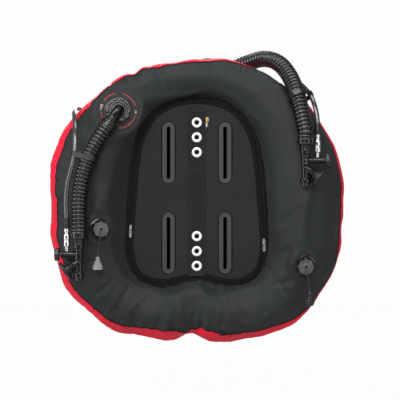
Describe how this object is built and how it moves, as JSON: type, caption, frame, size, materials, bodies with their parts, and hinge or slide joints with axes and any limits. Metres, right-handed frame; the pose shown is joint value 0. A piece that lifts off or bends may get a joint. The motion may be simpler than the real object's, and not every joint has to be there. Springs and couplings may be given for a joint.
{
  "type": "buoyancy compensator wing",
  "caption": "Ring-shaped dual-bladder buoyancy wing with a slotted centre panel, corrugated inflator hoses, power inflators and dump valves.",
  "frame": {"origin": "centre of the bolt pattern on the centre panel's face towards the backplate", "axes": "+Z towards the diver's head, -Y the tank side, +Y the diver's side, +X to the right seen from the tank side"},
  "size_m": [0.724, 0.2428, 0.7154],
  "materials": {
    "black_cordura": "matt woven nylon",
    "red_nylon": "coated nylon with a soft sheen",
    "bladder_film": "satin polyurethane film",
    "panel_cordura": "matt woven nylon",
    "webbing": "woven nylon webbing",
    "grey_plastic": "satin",
    "black_plastic": "moulded, half gloss",
    "black_rubber": "satin",
    "nickel": "bright nickel plate",
    "chrome": "mirror chrome"
  },
  "bodies": {
    "root": {"front_shell": "black_cordura", "back_shell": "red_nylon", "bladder_primary": "bladder_film", "bladder_backup": "bladder_film", "zipper_chain": "webbing", "center_panel": "panel_cordura", "spine_strap": "webbing", "slot_frame_upper_left": "grey_plastic", "slot_frame_upper_right": "grey_plastic", "slot_frame_lower_left": "grey_plastic", "slot_frame_lower_right": "grey_plastic", "grommet_1": "nickel", "grommet_2": "nickel", "grommet_3": "nickel", "grommet_4": "nickel", "grommet_5": "nickel", "grommet_6": "nickel", "port_flange_left": "black_plastic", "lock_ring_left": "black_plastic", "elbow_left": "black_plastic", "dump_base_left": "black_plastic", "dump_cap_left": "grey_plastic", "dump_spring_left": "nickel", "inflator_body_left": "black_plastic", "mouthpiece_left": "black_rubber", "lp_nipple_left": "chrome", "hose_ferrule_left": "chrome", "air_hose_left": "black_rubber", "lp_hose_left": "black_rubber", "hose_strap_left": "webbing", "lp_fitting_left": "chrome", "port_flange_right": "black_plastic", "lock_ring_right": "black_plastic", "elbow_right": "black_plastic", "dump_base_right": "black_plastic", "dump_cap_right": "grey_plastic", "dump_spring_right": "nickel", "inflator_body_right": "black_plastic", "mouthpiece_right": "black_rubber", "lp_nipple_right": "chrome", "hose_ferrule_right": "chrome", "air_hose_right": "black_rubber", "lp_hose_right": "black_rubber", "hose_strap_right": "webbing", "lp_fitting_right": "chrome"},
    "inflate_button_left": {"inflate_button_left": "black_plastic"},
    "deflate_button_left": {"deflate_button_left": "black_plastic"},
    "qd_sleeve_left": {"qd_sleeve_left": "chrome"},
    "dump_poppet_left": {"dump_poppet_left": "black_rubber", "pull_cord_left": "webbing", "pull_knob_left": "black_rubber"},
    "zipper_slider_left": {"zipper_slider_left": "black_plastic"},
    "inflate_button_right": {"inflate_button_right": "black_plastic"},
    "deflate_button_right": {"deflate_button_right": "black_plastic"},
    "qd_sleeve_right": {"qd_sleeve_right": "chrome"},
    "dump_poppet_right": {"dump_poppet_right": "black_rubber", "pull_cord_right": "webbing", "pull_knob_right": "black_rubber"},
    "zipper_slider_right": {"zipper_slider_right": "black_plastic"}
  },
  "joints": [
    {"name": "inflate_press_left", "type": "slide", "parent": "root", "child": "inflate_button_left", "axis": [1, 0, 0], "range_m": [0, 0.004], "stiffness_N_per_m": 900, "springref_m": -0.003},
    {"name": "deflate_press_left", "type": "slide", "parent": "root", "child": "deflate_button_left", "axis": [0, 0, 1], "range_m": [0, 0.005], "stiffness_N_per_m": 700, "springref_m": -0.003},
    {"name": "qd_pull_left", "type": "slide", "parent": "root", "child": "qd_sleeve_left", "axis": [0, 0, 1], "range_m": [0, 0.005], "stiffness_N_per_m": 900, "springref_m": -0.003},
    {"name": "dump_pull_left", "type": "slide", "parent": "root", "child": "dump_poppet_left", "axis": [0.287, -0.9579, 0.005], "range_m": [0, 0.005], "stiffness_N_per_m": 600, "springref_m": -0.003, "deforming": ["dump_spring_left"]},
    {"name": "zip_slide_left", "type": "slide", "parent": "root", "child": "zipper_slider_left", "axis": [0.0341, 0, 0.9994], "range_m": [0, 0.03]},
    {"name": "inflate_press_right", "type": "slide", "parent": "root", "child": "inflate_button_right", "axis": [-1, 0, 0], "range_m": [0, 0.004], "stiffness_N_per_m": 900, "springref_m": -0.003},
    {"name": "deflate_press_right", "type": "slide", "parent": "root", "child": "deflate_button_right", "axis": [0, 0, 1], "range_m": [0, 0.005], "stiffness_N_per_m": 700, "springref_m": -0.003},
    {"name": "qd_pull_right", "type": "slide", "parent": "root", "child": "qd_sleeve_right", "axis": [0, 0, 1], "range_m": [0, 0.005], "stiffness_N_per_m": 900, "springref_m": -0.003},
    {"name": "dump_pull_right", "type": "slide", "parent": "root", "child": "dump_poppet_right", "axis": [0.086, -0.9851, -0.149], "range_m": [0, 0.005], "stiffness_N_per_m": 600, "springref_m": -0.003, "deforming": ["dump_spring_right"]},
    {"name": "zip_slide_right", "type": "slide", "parent": "root", "child": "zipper_slider_right", "axis": [-0.0677, 0, 0.9977], "range_m": [0, 0.03]}
  ]
}
